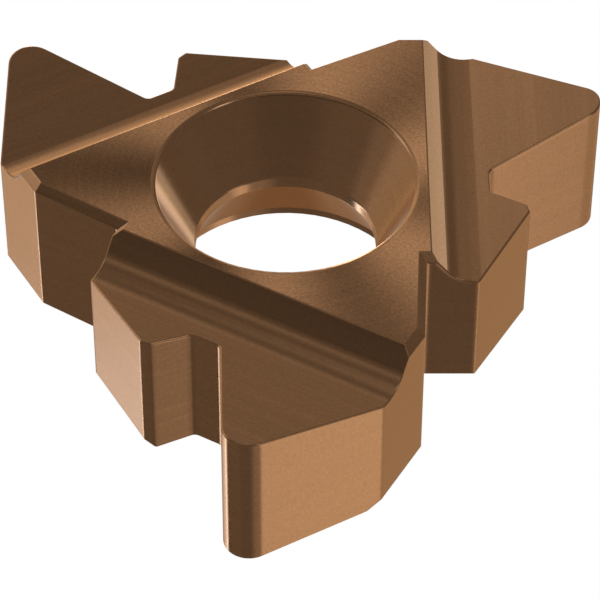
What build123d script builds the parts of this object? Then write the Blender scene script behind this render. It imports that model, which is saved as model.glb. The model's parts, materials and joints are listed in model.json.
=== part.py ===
from build123d import *
import math
import os

# A sintered carbide threading insert with three identical corners.  It is one piece: a prism with
# straight walls, a screw hole that widens to both faces and a pressed chip groove behind each set
# of cutting edges.  Sizes are in millimetres.
# Each corner is drawn in its own frame: `along` runs along the side of the corner and `out` points
# straight out from the hole axis.  A wall is a straight line, given by the angle of its outward
# normal, measured from `out` towards `along`, and by its distance from the hole axis.

# Body
corners = 3
first_corner_direction = -90.0
thickness = 5.25
bevel = 0.25
hone_radius = 0.05
smooth_turn = 10.0

# Full-profile tooth for a 60 degree thread
tooth_inner_angle = -58.7
tooth_inner_distance = 2.07
tooth_outer_angle = 59.25
tooth_outer_distance = 8.87
tooth_tip_radius = 0.77
root_floor_distance = 6.30
root_corner_radius = 0.25

# Small trailing tooth that trims the crest of the next thread
small_flank_angle = 54.5
small_flank_distance = 4.04
small_top_angle = 14.7
small_top_distance = 7.06
crest_angle = -30.6
crest_distance = 6.73

# Walls between two corners
end_face_distance = 3.40
side_face_distance = 6.75
land_angle = 117.3
rim_to_land = 0.017

# Chip groove and rake face
rim_to_ridge = 0.24
ridge_round = 0.07
wall_slope = 51.5
rake_slope = 9.5
rake_drop_at_axis = 1.99
groove_radius = 1.10

# Screw hole
throat_radius = 2.80
throat_length = 0.36
throat_round = 0.30
upper_cone_depth = 2.56
upper_cone_half_angle = 25.0
rim_round = 0.18
lower_mouth_lip = 0.25
lower_mouth_to_land = 0.085

# Heights.  The origin is on the hole axis, in the middle of the throat.
throat_top = throat_length / 2
top_z = throat_top + upper_cone_depth
seat_z = top_z - thickness
corner_turn = 360.0 / corners
match_distance = bevel / 10

# The hole sets how far out the ridges and the lands can stand
upper_cone_angle = math.radians(upper_cone_half_angle)
rim_corner = throat_radius + upper_cone_depth * math.tan(upper_cone_angle)
rim_radius = rim_corner + rim_round * math.tan((math.pi / 2 - upper_cone_angle) / 2)
ridge_distance = rim_radius + rim_to_ridge
land_distance = rim_radius + rim_to_land + bevel
lower_mouth_radius = land_distance - bevel - lower_mouth_to_land


def wall(normal_angle, distance):
    turn = math.radians(normal_angle)
    return math.sin(turn), math.cos(turn), distance


def crossing(first, second):
    spread = first[0] * second[1] - second[0] * first[1]
    along = (first[2] * second[1] - second[2] * first[1]) / spread
    out = (first[0] * second[2] - second[0] * first[2]) / spread
    return along, out


def at_corner(number, point):
    direction = math.radians(first_corner_direction + corner_turn * number)
    along, out = point
    x = out * math.cos(direction) - along * math.sin(direction)
    y = out * math.sin(direction) + along * math.cos(direction)
    return x, y


def at_all_corners(point):
    return [at_corner(number, point) for number in range(corners)]


def middle(first, second):
    return (first[0] + second[0]) / 2, (first[1] + second[1]) / 2


# Outline of one corner, from the end face of the small tooth round to the land
end_face = wall(-90.0, end_face_distance)
crest = wall(crest_angle, crest_distance)
small_top = wall(small_top_angle, small_top_distance)
small_flank = wall(small_flank_angle, small_flank_distance)
root_floor = wall(0.0, root_floor_distance)
tooth_inner = wall(tooth_inner_angle, tooth_inner_distance)
tooth_outer = wall(tooth_outer_angle, tooth_outer_distance)
side_face = wall(90.0, side_face_distance)
land = wall(land_angle, land_distance)
land_of_corner_before = wall(land_angle - corner_turn, land_distance)
end_face_of_next_corner = wall(corner_turn - 90.0, end_face_distance)

inner_corner = crossing(land_of_corner_before, end_face)
crest_start = crossing(end_face, crest)
crest_end = crossing(crest, small_top)
small_tip = crossing(small_top, small_flank)
root_start = crossing(small_flank, root_floor)
root_end = crossing(root_floor, tooth_inner)
tooth_point = crossing(tooth_inner, tooth_outer)
side_start = crossing(tooth_outer, side_face)
land_start = crossing(side_face, land)
land_end = crossing(land, end_face_of_next_corner)
corner_outline = [
    inner_corner,
    crest_start,
    crest_end,
    small_tip,
    root_start,
    root_end,
    tooth_point,
    side_start,
    land_start,
]
outline = [at_corner(number, point) for number in range(corners) for point in corner_outline]


def is_near(center, points):
    return any(math.dist((center.X, center.Y), point) < match_distance for point in points)


# Straight prism with a round tooth tip and small rounds in the corners of the root floor
plan = make_face(Polyline(outline, close=True))
tip_points = at_all_corners(tooth_point)
plan = fillet([v for v in plan.vertices() if is_near(v, tip_points)], tooth_tip_radius)
root_points = at_all_corners(root_start) + at_all_corners(root_end)
plan = fillet([v for v in plan.vertices() if is_near(v, root_points)], root_corner_radius)
body = extrude(Pos(0, 0, seat_z) * plan, amount=thickness)


# Bevels between the teeth on both faces.  On the seat side they also follow the crest.
def wall_edges(height, middles):
    level = body.edges().filter_by_position(Axis.Z, height - match_distance, height + match_distance)
    return [edge for edge in level if is_near(edge.center(), middles)]


end_faces = at_all_corners(middle(inner_corner, crest_start))
crests = at_all_corners(middle(crest_start, crest_end))
side_faces = at_all_corners(middle(side_start, land_start))
lands = at_all_corners(middle(land_start, land_end))
body = chamfer(wall_edges(top_z, end_faces + side_faces + lands), bevel)
body = chamfer(wall_edges(seat_z, end_faces + side_faces + lands + crests), bevel)

# Chip groove: a steep wall down from the ridge, a round bottom and a rake face that climbs
# towards the cutting edges.  It runs straight along the side of its corner.
groove_reach = 2 * side_face_distance
wall_fall = math.tan(math.radians(wall_slope))
rake_climb = math.tan(math.radians(rake_slope))
bottom_out = (ridge_distance * wall_fall + rake_drop_at_axis) / (wall_fall + rake_climb)
bottom_drop = (bottom_out - ridge_distance) * wall_fall
clearance_above = thickness / 2
groove_section = Polyline(
    (ridge_distance - clearance_above / wall_fall, clearance_above),
    (bottom_out, -bottom_drop),
    (groove_reach, groove_reach * rake_climb - rake_drop_at_axis),
    (groove_reach, clearance_above),
    close=True,
)
groove_face = make_face(groove_section)
groove_bottom = groove_face.vertices().sort_by(Axis.Y)[0]
groove_face = fillet(groove_bottom, groove_radius)
groove_plane = Plane(origin=(-groove_reach, 0, top_z), x_dir=(0, 1, 0), z_dir=(1, 0, 0))
groove = extrude(groove_plane * groove_face, amount=2 * groove_reach)
for number in range(corners):
    body -= Rot(0, 0, first_corner_direction + corner_turn * number - 90.0) * groove

# Small round on each ridge between the top face and its groove
ridge_points = at_all_corners((0, ridge_distance))
top_straights = body.edges().filter_by(GeomType.LINE)
top_straights = top_straights.filter_by_position(Axis.Z, top_z - match_distance, top_z + match_distance)
ridges = []
for point in ridge_points:
    ridges.append(top_straights.sort_by_distance((point[0], point[1], top_z))[0])
body = fillet(ridges, ridge_round)

# Screw hole: a rounded rim, a cone down to a short throat with a rounded upper edge, a cone that
# opens again towards the seat and a narrow straight lip at the seat.
hole_section = Polyline(
    (0, top_z),
    (rim_corner, top_z),
    (throat_radius, throat_top),
    (throat_radius, -throat_top),
    (lower_mouth_radius, seat_z + lower_mouth_lip),
    (lower_mouth_radius, seat_z),
    (0, seat_z),
    close=True,
)
hole_face = make_face(hole_section)
throat_edge = hole_face.vertices().sort_by_distance((throat_radius, throat_top))[0]
hole_face = fillet(throat_edge, throat_round)
body -= revolve(Plane.XZ * hole_face, Axis.Z)
circles = body.edges().filter_by(GeomType.CIRCLE)
rim_edge = circles.sort_by_distance((rim_corner, 0, top_z))[0]
body = fillet(rim_edge, rim_round)


# Fine hone on every outer edge that turns by more than smooth_turn degrees, except in the plane of
# the seat, which stays crisp.  A point moved by the difference of the two normals leaves the piece
# at an outer edge and enters it at an inner one.
def sharp_outer_edges(piece):
    faces_beside = {}
    for face in piece.faces():
        for edge in face.edges():
            faces_beside.setdefault(edge, []).append(face)
    found = []
    for edge, beside in faces_beside.items():
        if len(beside) < 2:
            continue
        point = edge @ 0.5
        first = beside[0].normal_at(point)
        second = beside[1].normal_at(point)
        is_sharp = first.get_angle(second) > smooth_turn
        if is_sharp and not piece.is_inside(point + (first - second) * match_distance):
            found.append(edge)
    return found


above_seat = seat_z + match_distance / 2
outer_edges = sharp_outer_edges(body.solid())
honed_edges = [edge for edge in outer_edges if edge.bounding_box().max.Z > above_seat]
body = fillet(honed_edges, hone_radius)

os.makedirs("parts", exist_ok=True)
export_step(body, "parts/threading_insert.step")
print("honed edges:", len(honed_edges))
print("volume in cubic millimetres:", round(body.volume, 1))
print("closed and valid:", body.is_valid)
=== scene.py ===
# %% [markdown]
# # A coated carbide threading insert
# A threading insert is the small cutting tip of a thread-turning tool.  It is pressed from carbide
# powder, sintered, ground, and then coated in a vacuum with a hard bronze-brown film.  This lesson
# takes the finished solid as it is, gives it that ground and coated finish, and lights it in the
# way a tool catalogue does: on white, with long soft reflections that show every facet.

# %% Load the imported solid
import json
import math

import bpy
import numpy as np
from mathutils import Matrix, Vector

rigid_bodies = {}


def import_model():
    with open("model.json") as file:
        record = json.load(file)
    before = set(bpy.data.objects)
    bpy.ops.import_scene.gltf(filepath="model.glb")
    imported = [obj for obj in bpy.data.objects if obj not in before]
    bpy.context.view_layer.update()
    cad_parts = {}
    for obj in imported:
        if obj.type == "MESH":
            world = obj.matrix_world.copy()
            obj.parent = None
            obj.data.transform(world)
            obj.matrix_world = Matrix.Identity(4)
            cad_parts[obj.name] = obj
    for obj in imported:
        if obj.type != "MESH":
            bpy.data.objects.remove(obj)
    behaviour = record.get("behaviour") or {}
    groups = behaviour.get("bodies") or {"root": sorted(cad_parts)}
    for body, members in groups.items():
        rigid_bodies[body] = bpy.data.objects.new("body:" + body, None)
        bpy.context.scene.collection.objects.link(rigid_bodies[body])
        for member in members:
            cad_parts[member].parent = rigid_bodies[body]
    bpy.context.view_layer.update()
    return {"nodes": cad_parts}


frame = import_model()
insert = frame["nodes"]["threading_insert"]


# %% [markdown]
# ## Colour handling
# A catalogue picture keeps colours as they are.  The Standard view does that: a white of strength 1
# comes out as white, and a brown comes out as the brown that was written down.

# %% Set the view
scene = bpy.context.scene
scene.view_settings.view_transform = "Standard"

# %% [markdown]
# ## The camera
# The photograph looks down at 45 degrees with a long lens, so the far corners are hardly smaller
# than the near one.  The camera could be aimed with a constraint, but a place and three directions
# (right, up and back) say the same thing exactly, and they are what the measurements give.

# %% Place the camera
IMAGE_SIZE = 600
FOCAL_IN_PIXELS = 3385.45
SENSOR_WIDTH = 36.0
NEAREST_SEEN = 0.005
CAMERA_PLACE = Vector((0.037795, -0.065301, 0.072954))
CAMERA_RIGHT = Vector((0.867466, 0.497493, 0.001977))
CAMERA_FORWARD = Vector((-0.350670, 0.614263, -0.706903))

camera_up = CAMERA_RIGHT.cross(CAMERA_FORWARD).normalized()
camera_turn = Matrix((CAMERA_RIGHT, camera_up, -CAMERA_FORWARD)).transposed().to_4x4()
camera = bpy.data.objects.new("camera", bpy.data.cameras.new("camera"))
scene.collection.objects.link(camera)
camera.matrix_world = Matrix.Translation(CAMERA_PLACE) @ camera_turn
camera.data.sensor_width = SENSOR_WIDTH
camera.data.lens = FOCAL_IN_PIXELS / IMAGE_SIZE * SENSOR_WIDTH
camera.data.clip_start = NEAREST_SEEN
scene.camera = camera
print("lens in millimetres:", round(camera.data.lens, 1))

# %% [markdown]
# ## Writing materials in a few lines
# A material is a graph of nodes.  The first helper adds a node, sets its values and links its
# inputs in one call.  The others are short forms of it for the nodes that are used most, so that
# each finish below reads as a recipe.


# %% Short ways to add nodes
FLOAT = "NodeSocketFloat"
VECTOR = "NodeSocketVector"


def add_node(tree, kind, settings=None, inputs=None):
    """Adds one node; a value sets the input of that name or number, a socket is linked to it."""
    node = tree.nodes.new(kind)
    for name, value in (settings or {}).items():
        setattr(node, name, value)
    for name, value in (inputs or {}).items():
        socket = node.inputs[name]
        if isinstance(value, bpy.types.NodeSocket):
            tree.links.new(value, socket)
        else:
            socket.default_value = value
    return node


def math_node(tree, operation, *values):
    """One Math node; its inputs are the values in order, and its result is returned."""
    node = add_node(tree, "ShaderNodeMath", {"operation": operation}, dict(enumerate(values)))
    return node.outputs[0]


def vector_node(tree, operation, *values):
    """One Vector Math node; its inputs are the values in order, and its vector is returned."""
    settings = {"operation": operation}
    node = add_node(tree, "ShaderNodeVectorMath", settings, dict(enumerate(values)))
    return node.outputs[0]


def blend_vectors(tree, share, first, second):
    """The first vector where the share is 0, the second where it is 1, and a mix in between."""
    inputs = {"Factor": share, 4: first, 5: second}
    node = add_node(tree, "ShaderNodeMix", {"data_type": "VECTOR"}, inputs)
    return node.outputs[1]


def join_parts(tree, *values):
    """A vector put together from its x, y and z parts; a part left out is 0."""
    node = add_node(tree, "ShaderNodeCombineXYZ", inputs=dict(enumerate(values)))
    return node.outputs[0]


def take_apart(tree, vector):
    """The x, y and z parts of a vector."""
    node = add_node(tree, "ShaderNodeSeparateXYZ", inputs={0: vector})
    return node.outputs[0], node.outputs[1], node.outputs[2]


def smooth_step(tree, value, low, high):
    """A mask that rises smoothly from 0 where the value is low to 1 where it is high."""
    ranges = {"Value": value, "From Min": low, "From Max": high}
    node = add_node(tree, "ShaderNodeMapRange", {"interpolation_type": "SMOOTHSTEP"}, ranges)
    return node.outputs["Result"]


def axis_distance(tree, x, y):
    """How far a point is from the hole axis: the length of its x and y parts."""
    settings = {"operation": "LENGTH"}
    length = add_node(tree, "ShaderNodeVectorMath", settings, {0: join_parts(tree, x, y)})
    return length.outputs["Value"]


def new_group(name, input_sockets, output_sockets):
    """An empty node group with the named inputs and outputs, each given as (name, socket type)."""
    group = bpy.data.node_groups.new(name, "ShaderNodeTree")
    for side, sockets in (("INPUT", input_sockets), ("OUTPUT", output_sockets)):
        for label, kind in sockets:
            group.interface.new_socket(label, in_out=side, socket_type=kind)
    entry = group.nodes.new("NodeGroupInput")
    leave = group.nodes.new("NodeGroupOutput")
    return group, entry.outputs, leave.inputs


print("node helpers ready")

# %% [markdown]
# ## Where each finish lies
# One solid carries several finishes.  Its plateau was ground in circles round the hole, its grooves
# run straight along the side of each corner, and its walls and its hole were finished level.  They
# could be told apart with face materials or painted masks.  Here the surface's own direction and
# height decide, because both are exact on a machined part and need no painting.

# %% Masks from direction and height
PLATEAU_HEIGHT = 0.00274
PLATEAU_BAND = (0.00012, 0.00002)
LEVEL_NORMAL = (0.988, 0.996)
UPWARD_NORMAL = (0.25, 0.45)
HOLE_REACH = 0.00425

masks, _, masks_out = new_group("surface masks", [], [("Plateau", FLOAT), ("Groove", FLOAT)])
place = add_node(masks, "ShaderNodeTexCoord").outputs["Object"]
surface = add_node(masks, "ShaderNodeNewGeometry").outputs["Normal"]
x, y, height = take_apart(masks, place)
upward = take_apart(masks, surface)[2]
reach = axis_distance(masks, x, y)

is_level = smooth_step(masks, upward, *LEVEL_NORMAL)
is_high = smooth_step(masks, height, *(PLATEAU_HEIGHT - below for below in PLATEAU_BAND))
on_plateau = math_node(masks, "MULTIPLY", is_level, is_high)
faces_up = smooth_step(masks, upward, *UPWARD_NORMAL)
off_plateau = math_node(masks, "SUBTRACT", faces_up, on_plateau)
outside_hole = math_node(masks, "GREATER_THAN", reach, HOLE_REACH)
in_groove = math_node(masks, "MULTIPLY", off_plateau, outside_hole)
masks.links.new(on_plateau, masks_out["Plateau"])
masks.links.new(in_groove, masks_out["Groove"])
print("masks:", [socket.name for socket in masks_out if socket.name])

# %% [markdown]
# ## The lay of the grinding
# A grinding wheel leaves fine lines, and their direction is called the lay.  It could come from an
# image, but lines that follow the part are simple to work out: a noise is stretched along the lay
# and squeezed across it.  So each surface needs two coordinates, one along and one across.
#
# On the plateau they are the way round the hole and the distance from it.  In a groove they are the
# corner's own straight coordinates.  On the walls and in the hole the height is the one across, so
# there the lines lie level.

# %% Where a point lies along and across the lay
CORNER_TURN = math.radians(120)
FIRST_CORNER = math.radians(-90)

lay, lay_in, lay_out = new_group(
    "grinding lay",
    [("Plateau", FLOAT), ("Groove", FLOAT), ("Lines per mm", FLOAT), ("Stretch", FLOAT)],
    [("Lines", FLOAT), ("Broad", FLOAT)],
)
x, y, height = take_apart(lay, add_node(lay, "ShaderNodeTexCoord").outputs["Object"])
reach = axis_distance(lay, x, y)
turn = math_node(lay, "ARCTAN2", y, x)
plateau_place = join_parts(lay, reach, math_node(lay, "MULTIPLY", turn, reach))

past_first = math_node(lay, "SUBTRACT", turn, FIRST_CORNER)
corner_number = math_node(lay, "ROUND", math_node(lay, "DIVIDE", past_first, CORNER_TURN))
corner_direction = math_node(lay, "MULTIPLY", corner_number, CORNER_TURN)
from_corner = math_node(lay, "SUBTRACT", past_first, corner_direction)
out = math_node(lay, "MULTIPLY", reach, math_node(lay, "COSINE", from_corner))
along = math_node(lay, "MULTIPLY", reach, math_node(lay, "SINE", from_corner))
groove_place = join_parts(lay, out, along, corner_number)

wall_place = join_parts(lay, height, math_node(lay, "ADD", x, y))
off_groove = blend_vectors(lay, lay_in["Plateau"], wall_place, plateau_place)
lay_place = blend_vectors(lay, lay_in["Groove"], off_groove, groove_place)
print("grinding lay:", [socket.name for socket in lay_in if socket.name])

# %% Noise stretched along the lay
PER_METRE = 1000.0
FINE_NOISE = {"Scale": 1.0, "Detail": 2.0}
BROAD_NOISE = {"Scale": 0.22, "Detail": 1.0}

across_scale = math_node(lay, "MULTIPLY", lay_in["Lines per mm"], PER_METRE)
along_scale = math_node(lay, "DIVIDE", across_scale, lay_in["Stretch"])
scales = join_parts(lay, across_scale, along_scale, 1.0)
stretched = vector_node(lay, "MULTIPLY", lay_place, scales)
fine = add_node(lay, "ShaderNodeTexNoise", inputs={"Vector": stretched, **FINE_NOISE})
broad = add_node(lay, "ShaderNodeTexNoise", inputs={"Vector": stretched, **BROAD_NOISE})
lay.links.new(fine.outputs["Fac"], lay_out["Lines"])
lay.links.new(broad.outputs["Fac"], lay_out["Broad"])
print("noises:", [socket.name for socket in lay_out if socket.name])

# %% [markdown]
# ## Painted reflection sectors on the plateau
# A face that was ground in circles shows soft light and dark sectors that run out from the hole,
# like the shine on a compact disc.  They are reflections, and they could come from a glossy shader
# with a grain direction, but that depends on every lamp.  Here they are painted into the colour as
# a
# sheen that stays put: six light and six dark, from a cosine of six times the direction.  The
# painted sectors drift a little from even spacing, and one side of the plateau is painted brighter,
# as the real one shines brighter there.

# %% Six painted reflection sectors
SECTORS = 6
BRIGHT_DIRECTION = math.radians(51)
DRIFT = math.radians(6)
DRIFT_DIRECTION = math.radians(72)
BRIGHT_SIDE = math.radians(42)
SIDE_SHARE = 0.55

# Painted reflection: a brightness that rises and falls six times round the hole, plus one brighter
# side.
painted_sheen_sectors, _, painted_sheen_out = new_group("painted_sheen_sectors", [], [("Bright", FLOAT)])
place = add_node(painted_sheen_sectors, "ShaderNodeTexCoord").outputs["Object"]
x, y, _ = take_apart(painted_sheen_sectors, place)
turn = math_node(painted_sheen_sectors, "ARCTAN2", y, x)
from_drift = math_node(painted_sheen_sectors, "SUBTRACT", turn, DRIFT_DIRECTION)
drift = math_node(painted_sheen_sectors, "MULTIPLY", math_node(painted_sheen_sectors, "COSINE", from_drift), DRIFT)
drifted = math_node(painted_sheen_sectors, "ADD", math_node(painted_sheen_sectors, "SUBTRACT", turn, BRIGHT_DIRECTION), drift)
wave = math_node(painted_sheen_sectors, "COSINE", math_node(painted_sheen_sectors, "MULTIPLY", drifted, float(SECTORS)))
from_side = math_node(painted_sheen_sectors, "SUBTRACT", turn, BRIGHT_SIDE)
side = math_node(painted_sheen_sectors, "MULTIPLY", math_node(painted_sheen_sectors, "COSINE", from_side), SIDE_SHARE)
bright = math_node(painted_sheen_sectors, "ADD", wave, side)
painted_sheen_sectors.links.new(bright, painted_sheen_out["Bright"])
print("sectors:", SECTORS)

# %% [markdown]
# ## The rounded rim of the hole
# The rim is a ring with a round section, and it draws the thinnest highlights of the whole piece.
# The mesh has only a few facets there.  They could be smoothed with more triangles, but the solid
# keeps its mesh, so the exact direction of the round surface is worked out instead: it points from
# the ring's centre line to the surface.

# %% Exact direction on the rim
RIM_REACH = 0.0041084
RIM_HEIGHT = 0.00256
RIM_ROUND = 0.00018
CONE_SLOPE = math.radians(25)
FACET_SLACK = 0.000004

rim, _, rim_out = new_group("rim round", [], [("Rim", FLOAT), ("Direction", VECTOR)])
x, y, height = take_apart(rim, add_node(rim, "ShaderNodeTexCoord").outputs["Object"])
reach = axis_distance(rim, x, y)
lean = math_node(rim, "DIVIDE", math_node(rim, "SUBTRACT", reach, RIM_REACH), reach)
from_centre = join_parts(
    rim,
    math_node(rim, "MULTIPLY", x, lean),
    math_node(rim, "MULTIPLY", y, lean),
    math_node(rim, "SUBTRACT", height, RIM_HEIGHT),
)
direction = vector_node(rim, "NORMALIZE", from_centre)

cone_end_reach = RIM_REACH - RIM_ROUND * math.cos(CONE_SLOPE)
cone_end_height = RIM_HEIGHT + RIM_ROUND * math.sin(CONE_SLOPE) - FACET_SLACK
past_cone = math_node(rim, "GREATER_THAN", reach, cone_end_reach)
before_plateau = math_node(rim, "LESS_THAN", reach, RIM_REACH)
above_cone = math_node(rim, "GREATER_THAN", height, cone_end_height)
between = math_node(rim, "MULTIPLY", past_cone, before_plateau)
on_rim = math_node(rim, "MULTIPLY", between, above_cone)
rim.links.new(on_rim, rim_out["Rim"])
rim.links.new(direction, rim_out["Direction"])
print("rim radius in millimetres:", RIM_REACH * 1000)

# %% [markdown]
# ## The bronze coating
# The film on the real insert is a thin hard metal compound.  It reflects like a metal, but brown,
# and it is satin because it copies the ground carbide below it.  It could be a brown paint under a
# clear coat, but then every highlight would be white.  A metal tints its highlights, as the real
# film does.
#
# The colour starts from one bronze and is multiplied by four small changes: the fine lines along
# the lay, a broader unevenness along it, the painted reflection sectors on the plateau, which also
# lift the plateau's colour as a painted sheen, and a grain as fine as the powder that the carbide
# is made of.

# %% Gather what the colour follows
LINES_PER_MM = 11.0
LINE_STRETCH = 120.0
GRAIN_NOISE = {"Scale": 12000.0, "Detail": 2.0}

coating = bpy.data.materials.new("bronze coating")
coating.use_nodes = True
tree = coating.node_tree
shader = tree.nodes["Principled BSDF"]
mask = add_node(tree, "ShaderNodeGroup", {"node_tree": masks}).outputs
lay_inputs = {
    "Plateau": mask["Plateau"],
    "Groove": mask["Groove"],
    "Lines per mm": LINES_PER_MM,
    "Stretch": LINE_STRETCH,
}
ground = add_node(tree, "ShaderNodeGroup", {"node_tree": lay}, lay_inputs).outputs
sectors = add_node(tree, "ShaderNodeGroup", {"node_tree": painted_sheen_sectors}).outputs
spot = add_node(tree, "ShaderNodeTexCoord").outputs["Object"]
grain = add_node(tree, "ShaderNodeTexNoise", inputs={"Vector": spot, **GRAIN_NOISE}).outputs
print("coating follows:", list(ground.keys()) + list(sectors.keys()) + ["Grain"])

# %% Mix the colour
BRONZE = (0.35, 0.176, 0.083)
PLAIN_TONE = 1.0
NOISE_MIDDLE = 0.5
# Painted sheen: how much lighter the plateau is painted on average, and how deep its painted
# reflection sectors are.
PLATEAU_SHEEN = 1.28
SHEEN_SECTOR_AMOUNT = 0.56
LINE_AMOUNT = {"everywhere": 0.12, "Groove": 0.06, "Plateau": 0.20}
BROAD_AMOUNT = {"everywhere": 0.10, "Groove": 0.10}
GRAIN_AMOUNT = {"everywhere": 0.38, "Plateau": 0.46}


def noise_factor(noise, amounts):
    """A factor near 1 that follows a noise: 1 + (noise - 0.5) * amount, where the amount is the
    value for everywhere plus what each mask adds."""
    amount = amounts["everywhere"]
    for label in ("Groove", "Plateau"):
        if label in amounts:
            amount = math_node(tree, "MULTIPLY_ADD", mask[label], amounts[label], amount)
    change = math_node(tree, "SUBTRACT", noise, NOISE_MIDDLE)
    return math_node(tree, "MULTIPLY_ADD", change, amount, PLAIN_TONE)


# The plateau is painted lighter on average, and its light and dark sectors are a painted
# reflection; grain and lay lines are the coating's own texture.
sector_sheen = math_node(tree, "MULTIPLY_ADD", sectors["Bright"], SHEEN_SECTOR_AMOUNT, PLATEAU_SHEEN)
plateau_sheen_change = math_node(tree, "SUBTRACT", sector_sheen, PLAIN_TONE)
sheen_factor = math_node(tree, "MULTIPLY_ADD", plateau_sheen_change, mask["Plateau"], PLAIN_TONE)
line_factor = noise_factor(ground["Lines"], LINE_AMOUNT)
broad_factor = noise_factor(ground["Broad"], BROAD_AMOUNT)
grain_factor = noise_factor(grain["Fac"], GRAIN_AMOUNT)
sheen_and_grain = math_node(tree, "MULTIPLY", sheen_factor, grain_factor)
lay_tone = math_node(tree, "MULTIPLY", line_factor, broad_factor)
texture_and_sheen = math_node(tree, "MULTIPLY", sheen_and_grain, lay_tone)
shade = {0: BRONZE, "Scale": texture_and_sheen}
colour = add_node(tree, "ShaderNodeVectorMath", {"operation": "SCALE"}, shade).outputs[0]
tree.links.new(colour, shader.inputs["Base Color"])
print("bronze:", BRONZE)

# %% [markdown]
# ## Metal and gloss
# The film is metal through and through.  Its gloss follows the same fine lines as its colour: a
# paler line is also a little duller.  The edge tint is the colour that the metal takes where it is
# seen at a low angle.  Without it every metal turns white there, and the real insert stays warm.

# %% Set the metal and the gloss
EDGE_TINT = (0.80, 0.63, 0.50, 1.0)
SMOOTHEST = 0.15
DULLER_BY = 0.08

roughness = math_node(tree, "MULTIPLY_ADD", ground["Lines"], DULLER_BY, SMOOTHEST)
tree.links.new(roughness, shader.inputs["Roughness"])
shader.inputs["Metallic"].default_value = 1.0
shader.inputs["Specular Tint"].default_value = EDGE_TINT
print("edge tint:", EDGE_TINT[:3])

# %% [markdown]
# ## Softer corners between the walls
# On the real insert the upright corners between two walls are a little rounder than the cutting
# edges, and each draws a bright line with a dark one beside it.  The solid rounds all its edges
# alike, and it keeps its mesh.  So the Bevel node does this in the shading: within a small distance
# of a corner it turns the normal smoothly from one wall to the next.  Its result is made level and
# used on walls alone, so the rake faces keep their crisp cutting edges.  On the rim of the hole the
# exact direction from before takes its place.

# %% Round the corners in the shading
CORNER_ROUND = 0.0002
BEVEL_SAMPLES = 16
WALL_NORMAL = (0.20, 0.05)

surface = add_node(tree, "ShaderNodeNewGeometry").outputs["Normal"]
lean_up = math_node(tree, "ABSOLUTE", take_apart(tree, surface)[2])
on_wall = smooth_step(tree, lean_up, *WALL_NORMAL)
samples = {"samples": BEVEL_SAMPLES}
rounded = add_node(tree, "ShaderNodeBevel", samples, {"Radius": CORNER_ROUND}).outputs["Normal"]
level = vector_node(tree, "MULTIPLY", rounded, (1.0, 1.0, 0.0))
turned = vector_node(tree, "NORMALIZE", level)
off_rim = blend_vectors(tree, on_wall, surface, turned)
rim_round = add_node(tree, "ShaderNodeGroup", {"node_tree": rim}).outputs
shading = blend_vectors(tree, rim_round["Rim"], off_rim, rim_round["Direction"])
tree.links.new(shading, shader.inputs["Normal"])
print("corner round in millimetres:", CORNER_ROUND * 1000)

# %% [markdown]
# ## Dressing the solid
# The solid keeps its mesh.  Only its material slot is given the new finish.
#
# The insert is also left out of its own reflections.  A mesh this smooth would mirror its pale
# walls sharply in its dark grooves, which the satin film of the real one doesn't show.  What the
# walls of the hole do throw at each other comes from two warm cards instead.

# %% Put the coating on the insert
insert.data.materials.clear()
insert.data.materials.append(coating)
insert.visible_glossy = False
print("material of the insert:", insert.data.materials[0].name)

# %% [markdown]
# ## Studio cards
# Metal shows what stands round it.  Catalogue pictures of cutting tools are lit by cards: dark
# ones, called flags, that keep faces dark, and bright narrow ones, called strips, that draw a line
# along each edge.  A card could be a plain rectangle, but a piece of a sphere round the object is
# reflected the same from every facet, and it is simple to place by direction and height.  The cards
# show only in reflections: they put no light on the floor and hide nothing from the camera.


# %% Cards as pieces of a sphere
CARD_COLUMNS, CARD_ROWS = 48, 32
TURN_LIMITS = (-180, 212)
PLAIN_WHITE = (1.0, 1.0, 1.0, 1.0)


def dome_patch(name, turns, heights, radius):
    """A piece of a sphere: each point is radius times (cos height cos turn, cos height sin turn,
    sin height), for a turn and a height in degrees between their two limits."""
    first, last = np.clip(turns, *TURN_LIMITS)
    turn, height = np.meshgrid(
        np.radians(np.linspace(first, last, CARD_COLUMNS)),
        np.radians(np.linspace(heights[0], heights[1], CARD_ROWS)),
    )
    flat = np.cos(height)
    points = radius * np.stack([flat * np.cos(turn), flat * np.sin(turn), np.sin(height)], axis=-1)
    index = np.arange(CARD_ROWS * CARD_COLUMNS).reshape(CARD_ROWS, CARD_COLUMNS)
    faces = np.stack([index[:-1, :-1], index[1:, :-1], index[1:, 1:], index[:-1, 1:]], axis=-1)
    mesh = bpy.data.meshes.new(name)
    mesh.from_pydata(points.reshape(-1, 3).tolist(), [], faces.reshape(-1, 4).tolist())
    patch = bpy.data.objects.new(name, mesh)
    scene.collection.objects.link(patch)
    for ray in ("camera", "diffuse", "transmission", "shadow"):
        setattr(patch, "visible_" + ray, False)
    return patch


def finish_surface(tree, share, first, second):
    """The material's surface: the first shader where the share is 0, the second where it is 1."""
    mix = add_node(tree, "ShaderNodeMixShader", inputs={0: share, 1: first, 2: second})
    output = add_node(tree, "ShaderNodeOutputMaterial")
    tree.links.new(mix.outputs[0], output.inputs["Surface"])


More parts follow.
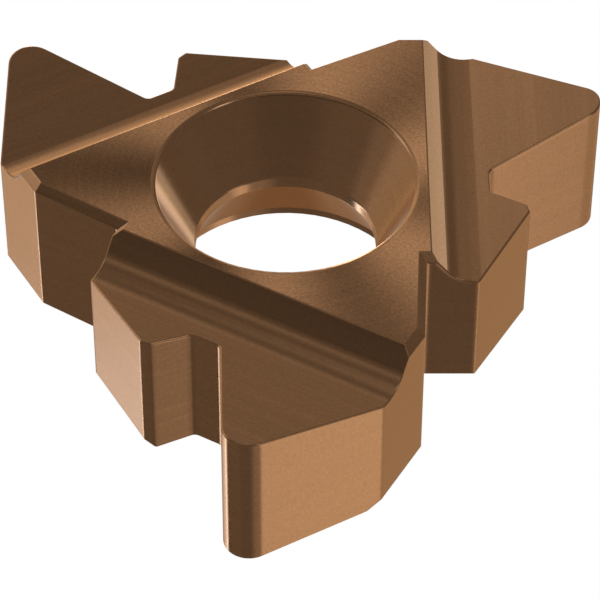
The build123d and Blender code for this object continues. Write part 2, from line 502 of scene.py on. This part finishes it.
def card_material(name, strength, turns, heights, fade, tint):
    """A glowing card.  Its strength fades to nothing over the given degrees at each edge, and where
    it fades it turns clear, so the studio behind it shows through."""
    material = bpy.data.materials.new(name)
    material.use_nodes = True
    tree = material.node_tree
    tree.nodes.clear()
    spot = add_node(tree, "ShaderNodeTexCoord").outputs["Object"]
    x, y, up = take_apart(tree, spot)
    from_middle = {"Vector": spot, "Angle": -math.radians(sum(turns) / 2)}
    centred = add_node(tree, "ShaderNodeVectorRotate", {"rotation_type": "Z_AXIS"}, from_middle)
    centred_x, centred_y, _ = take_apart(tree, centred.outputs[0])
    turn = math_node(tree, "ARCTAN2", centred_y, centred_x)
    height = math_node(tree, "ARCTAN2", up, axis_distance(tree, x, y))

    half = math.radians((turns[1] - turns[0]) / 2)
    low, high = (math.radians(value) for value in heights)
    side, end = (math.radians(value) for value in fade)
    inside = smooth_step(tree, math_node(tree, "ABSOLUTE", turn), half, half - side)
    above = smooth_step(tree, height, low, low + end)
    below = smooth_step(tree, height, high, high - end)
    share = math_node(tree, "MULTIPLY", inside, math_node(tree, "MULTIPLY", above, below))

    glow = add_node(tree, "ShaderNodeEmission", inputs={"Color": tint, "Strength": strength})
    clear = add_node(tree, "ShaderNodeBsdfTransparent")
    finish_surface(tree, share, clear.outputs[0], glow.outputs[0])
    return material


def add_card(name, strength, turns, heights, radius, fade, tint=PLAIN_WHITE):
    """One card: its surface, its material and its place in the studio."""
    card = dome_patch(name, turns, heights, radius)
    card.data.materials.append(card_material(name, strength, turns, heights, fade, tint))


print("a card has", (CARD_COLUMNS - 1) * (CARD_ROWS - 1), "faces")

# %% [markdown]
# ## Where the cards stand
# Each face of the insert mirrors one direction of the studio.  So a card stands where the mirror
# direction of a bright or a dark face points.  Turns are counted from the +X side, so the camera is
# at -60 degrees; heights are above or below the horizon, and the walls mirror what is 45 degrees
# below it.  A larger radius stands further back.  Where two cards fade out side by side, the one
# behind reaches under the one in front, or the white room would leak through between them.
#
# Cool, cold and ice white are daylight, bluer from one to the next, and they turn the bronze's
# highlights almost white.  Warm white is what brown metal throws back, and it lights the lower
# cone of the hole.

# %% Set the large dim cards
COOL_WHITE = (0.95, 1.03, 1.18, 1.0)
COLD_WHITE = (0.86, 1.06, 1.42, 1.0)
ICE_WHITE = (0.74, 1.00, 1.65, 1.0)
WARM_WHITE = (1.03, 0.80, 0.60, 1.0)

add_card("top_flag", 0.24, (-200, 200), (30, 90), 0.330, (10, 28))
add_card("top_card", 0.45, (-200, 200), (66, 90), 0.328, (10, 12))
add_card("floor_card", 0.42, (-200, 200), (-90, -60), 0.325, (10, 10), WARM_WHITE)
add_card("front_left_flag", 0.28, (-168, -60), (-90, 20), 0.320, (12, 15))
add_card("front_right_flag", 0.25, (-104, 60), (-90, 50), 0.315, (24, 15))
add_card("front_high_flag", 0.15, (-172, -20), (2, 50), 0.312, (24, 15))
add_card("cone_soft_card", 0.42, (-170, -132), (-18, 12), 0.311, (12, 8))
add_card("right_back_flag", 0.27, (4, 112), (-40, 75), 0.310, (20, 15))
add_card("back_mid_flag", 0.41, (60, 132), (14, 50), 0.308, (10, 12))
dim_cards = [obj.name for obj in scene.objects if obj.name.endswith(("flag", "card"))]
print("dim cards:", dim_cards)

# %% [markdown]
# ## The bright cards
# The low ones light the walls.  The narrow ones with a strength far above 1 draw lines: the ridges
# of the grooves, the rounded corners, the tooth's tip and the rim of the hole mirror only a sliver
# of them.  The dark slit beside the left strip keeps the tooth's tip dark next to its bright line.

# %% Set the bright cards
add_card("right_low_card", 0.8, (-10, 78), (-80, -24), 0.305, (10, 12))
add_card("back_low_card", 0.5, (74, 158), (-72, -20), 0.302, (10, 10), WARM_WHITE)
add_card("left_card", 0.68, (148, 206), (-38, 60), 0.300, (14, 12))
add_card("back_card", 1.5, (110, 158), (-6, 17), 0.295, (10, 10))
add_card("ridge_card", 9.0, (123, 132), (-33, 0), 0.292, (4, 7))
add_card("wall_card", 2.0, (66, 90), (-26, -3), 0.290, (8, 12), COLD_WHITE)
add_card("cone_card", 2.4, (77, 104), (-34, -12), 0.288, (9, 9), COLD_WHITE)
add_card("left_low_card", 1.12, (148, 188), (-80, -26), 0.285, (8, 10), COOL_WHITE)
add_card("crest_card", 2.25, (166, 187), (-80, -43.5), 0.283, (5, 3), ICE_WHITE)
add_card("dark_slit", 0.08, (196, 230), (-80, -24), 0.282, (6, 10))
add_card("left_strip", 6.5, (186, 198), (-60, -24), 0.280, (3, 10), ICE_WHITE)
add_card("right_soft_card", 0.5, (-54, 4), (-80, -12), 0.277, (24, 14))
add_card("right_strip", 1.4, (-15, 13), (-80, -4), 0.275, (8, 22))
add_card("right_high_strip", 2.4, (-14, 6), (20, 52), 0.270, (6, 12), COOL_WHITE)
add_card("left_high_strip", 1.8, (176, 200), (12, 44), 0.268, (6, 12), COOL_WHITE)
cards = [obj.name for obj in scene.objects if obj.name.endswith(("flag", "card", "slit", "strip"))]
print("bright cards:", cards[len(dim_cards) :])

# %% [markdown]
# ## Floor and surroundings
# The insert is held far above a wide pale floor, as in a catalogue picture where no shadow touches
# the object.  The floor is plain matt grey-white.  It could be painted brighter, but then it would
# light the object too much.  Instead a small glow lifts it to a white of strength 1, only where the
# camera, a reflection or a see-through ray meets it.  The glow is added to the light that falls on
# the floor, so it keeps the object's shadow; from this height the shadow is too soft to see.
#
# The surroundings are the same white for the camera and for reflections.  Everything else sees an
# evenly lit pale room.


# %% A pale floor
FLOOR_HEIGHT = -0.36
FLOOR_RADIUS = 3.0
FLOOR_GREY = 0.8
ROOM_LIGHT = 0.7


def disc_grid(name, radius, height):
    """A flat disc: each point is distance times (cos turn, sin turn), with the distance growing
    from the middle to the rim, and one point closes the middle."""
    rings, spokes = 12, 64
    distances = np.linspace(0, radius, rings + 1)[1:]
    turns = np.linspace(0, 2 * np.pi, spokes, endpoint=False)
    distance, turn = np.meshgrid(distances, turns, indexing="ij")
    level = np.full_like(turn, height)
    points = np.stack([distance * np.cos(turn), distance * np.sin(turn), level], axis=-1)
    points = np.vstack([[[0.0, 0.0, height]], points.reshape(-1, 3)])
    index = 1 + np.arange(rings * spokes).reshape(rings, spokes)
    after = np.roll(index, -1, axis=1)
    quads = np.stack([index[:-1], index[1:], after[1:], after[:-1]], axis=-1).reshape(-1, 4)
    centre = np.stack([np.zeros(spokes, dtype=int), index[0], after[0]], axis=-1)
    mesh = bpy.data.meshes.new(name)
    mesh.from_pydata(points.tolist(), [], centre.tolist() + quads.tolist())
    disc = bpy.data.objects.new(name, mesh)
    scene.collection.objects.link(disc)
    return disc


def seen_directly(tree):
    """A mask of 1 for camera, mirror and see-through rays, and 0 for all others."""
    path = add_node(tree, "ShaderNodeLightPath").outputs
    either = math_node(tree, "MAXIMUM", path["Is Camera Ray"], path["Is Glossy Ray"])
    return math_node(tree, "MAXIMUM", either, path["Is Transmission Ray"])


floor = disc_grid("floor", FLOOR_RADIUS, FLOOR_HEIGHT)
floor_paint = bpy.data.materials.new("floor paint")
floor_paint.use_nodes = True
tree = floor_paint.node_tree
tree.nodes.clear()
grey = (FLOOR_GREY, FLOOR_GREY, FLOOR_GREY, 1.0)
matt = add_node(tree, "ShaderNodeBsdfDiffuse", inputs={"Color": grey})
lift = math_node(tree, "MULTIPLY", seen_directly(tree), 1.0 - FLOOR_GREY * ROOM_LIGHT)
glow = add_node(tree, "ShaderNodeEmission", inputs={"Strength": lift})
both = add_node(tree, "ShaderNodeAddShader", inputs={0: matt.outputs[0], 1: glow.outputs[0]})
output = add_node(tree, "ShaderNodeOutputMaterial")
tree.links.new(both.outputs[0], output.inputs["Surface"])
floor.data.materials.append(floor_paint)
print("floor at", FLOOR_HEIGHT * 1000, "millimetres")

# %% An evenly lit room
world = bpy.data.worlds.new("pale room")
scene.world = world
world.use_nodes = True
tree = world.node_tree
tree.nodes.clear()
room = add_node(tree, "ShaderNodeBackground", inputs={"Color": PLAIN_WHITE, "Strength": ROOM_LIGHT})
white = add_node(tree, "ShaderNodeBackground", inputs={"Color": PLAIN_WHITE, "Strength": 1.0})
mix = add_node(
    tree,
    "ShaderNodeMixShader",
    inputs={0: seen_directly(tree), 1: room.outputs[0], 2: white.outputs[0]},
)
output = add_node(tree, "ShaderNodeOutputWorld")
tree.links.new(mix.outputs[0], output.inputs["Surface"])
print("room light:", ROOM_LIGHT)
